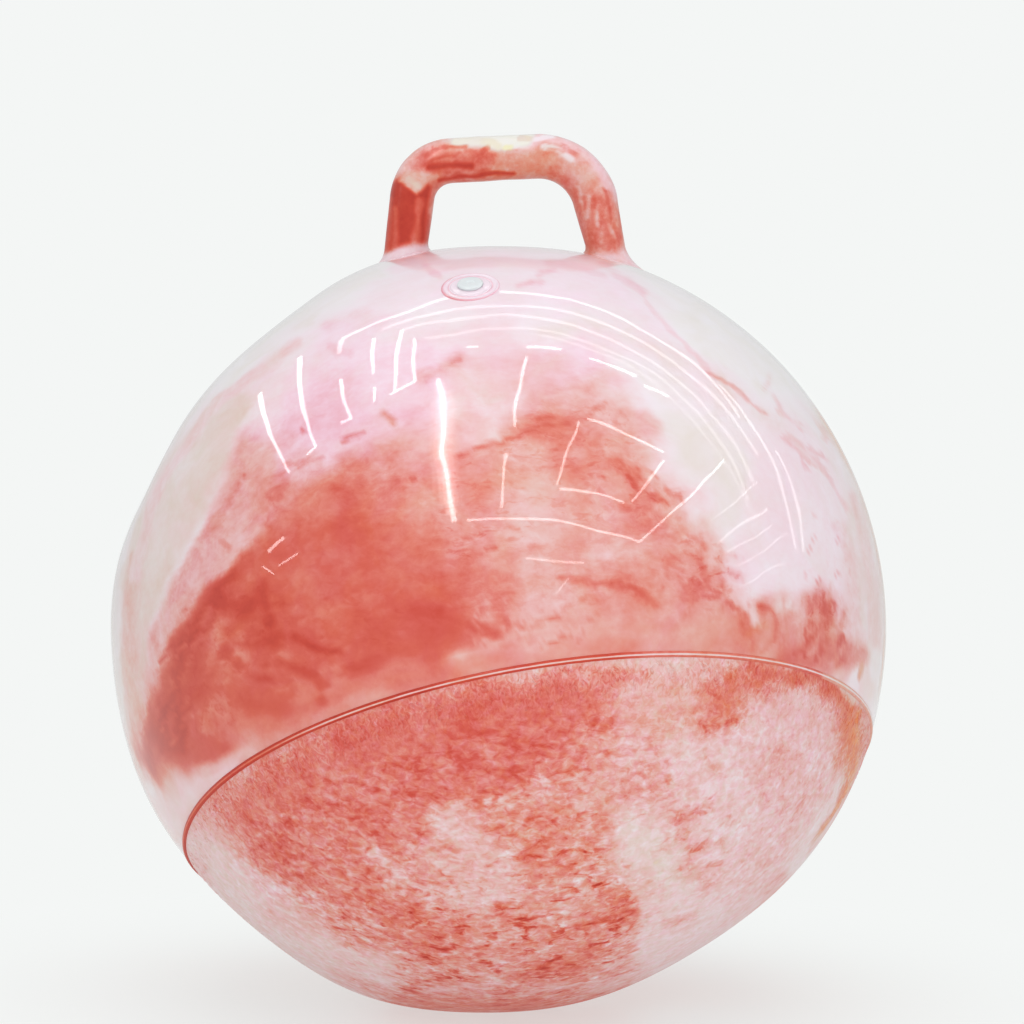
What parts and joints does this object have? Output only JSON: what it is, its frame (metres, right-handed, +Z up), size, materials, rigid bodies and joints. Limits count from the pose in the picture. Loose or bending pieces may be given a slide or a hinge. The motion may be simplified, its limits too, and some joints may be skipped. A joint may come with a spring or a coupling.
{
  "type": "hopper ball",
  "caption": "Inflated bouncing ball with a hand loop on top, a raised parting seam and a plugged air valve.",
  "frame": {"origin": "centre of the patch that the standing ball presses flat on the floor, straight under the ball's centre", "axes": "+Z up through the crown, where the hand loop stands; +X to the right along the grip bar; -Y towards the side that the air valve faces"},
  "size_m": [0.45, 0.4507, 0.5108],
  "materials": {
    "smooth_vinyl": "gloss",
    "pebbled_vinyl": "satin",
    "bead_vinyl": "satin",
    "handle_vinyl": "gloss",
    "bush_vinyl": "gloss",
    "plug_plastic": "satin"
  },
  "bodies": {
    "ball": {"upper_skin": "smooth_vinyl", "lower_skin": "pebbled_vinyl", "seam_bead": "bead_vinyl", "handle": "handle_vinyl", "valve_bush": "bush_vinyl"},
    "plug": {"valve_plug": "plug_plastic"}
  },
  "joints": [
    {"name": "plug_pull", "type": "slide", "parent": "ball", "child": "plug", "axis": [-0.0825, -0.4931, 0.866], "range_m": [0, 0.03]}
  ]
}
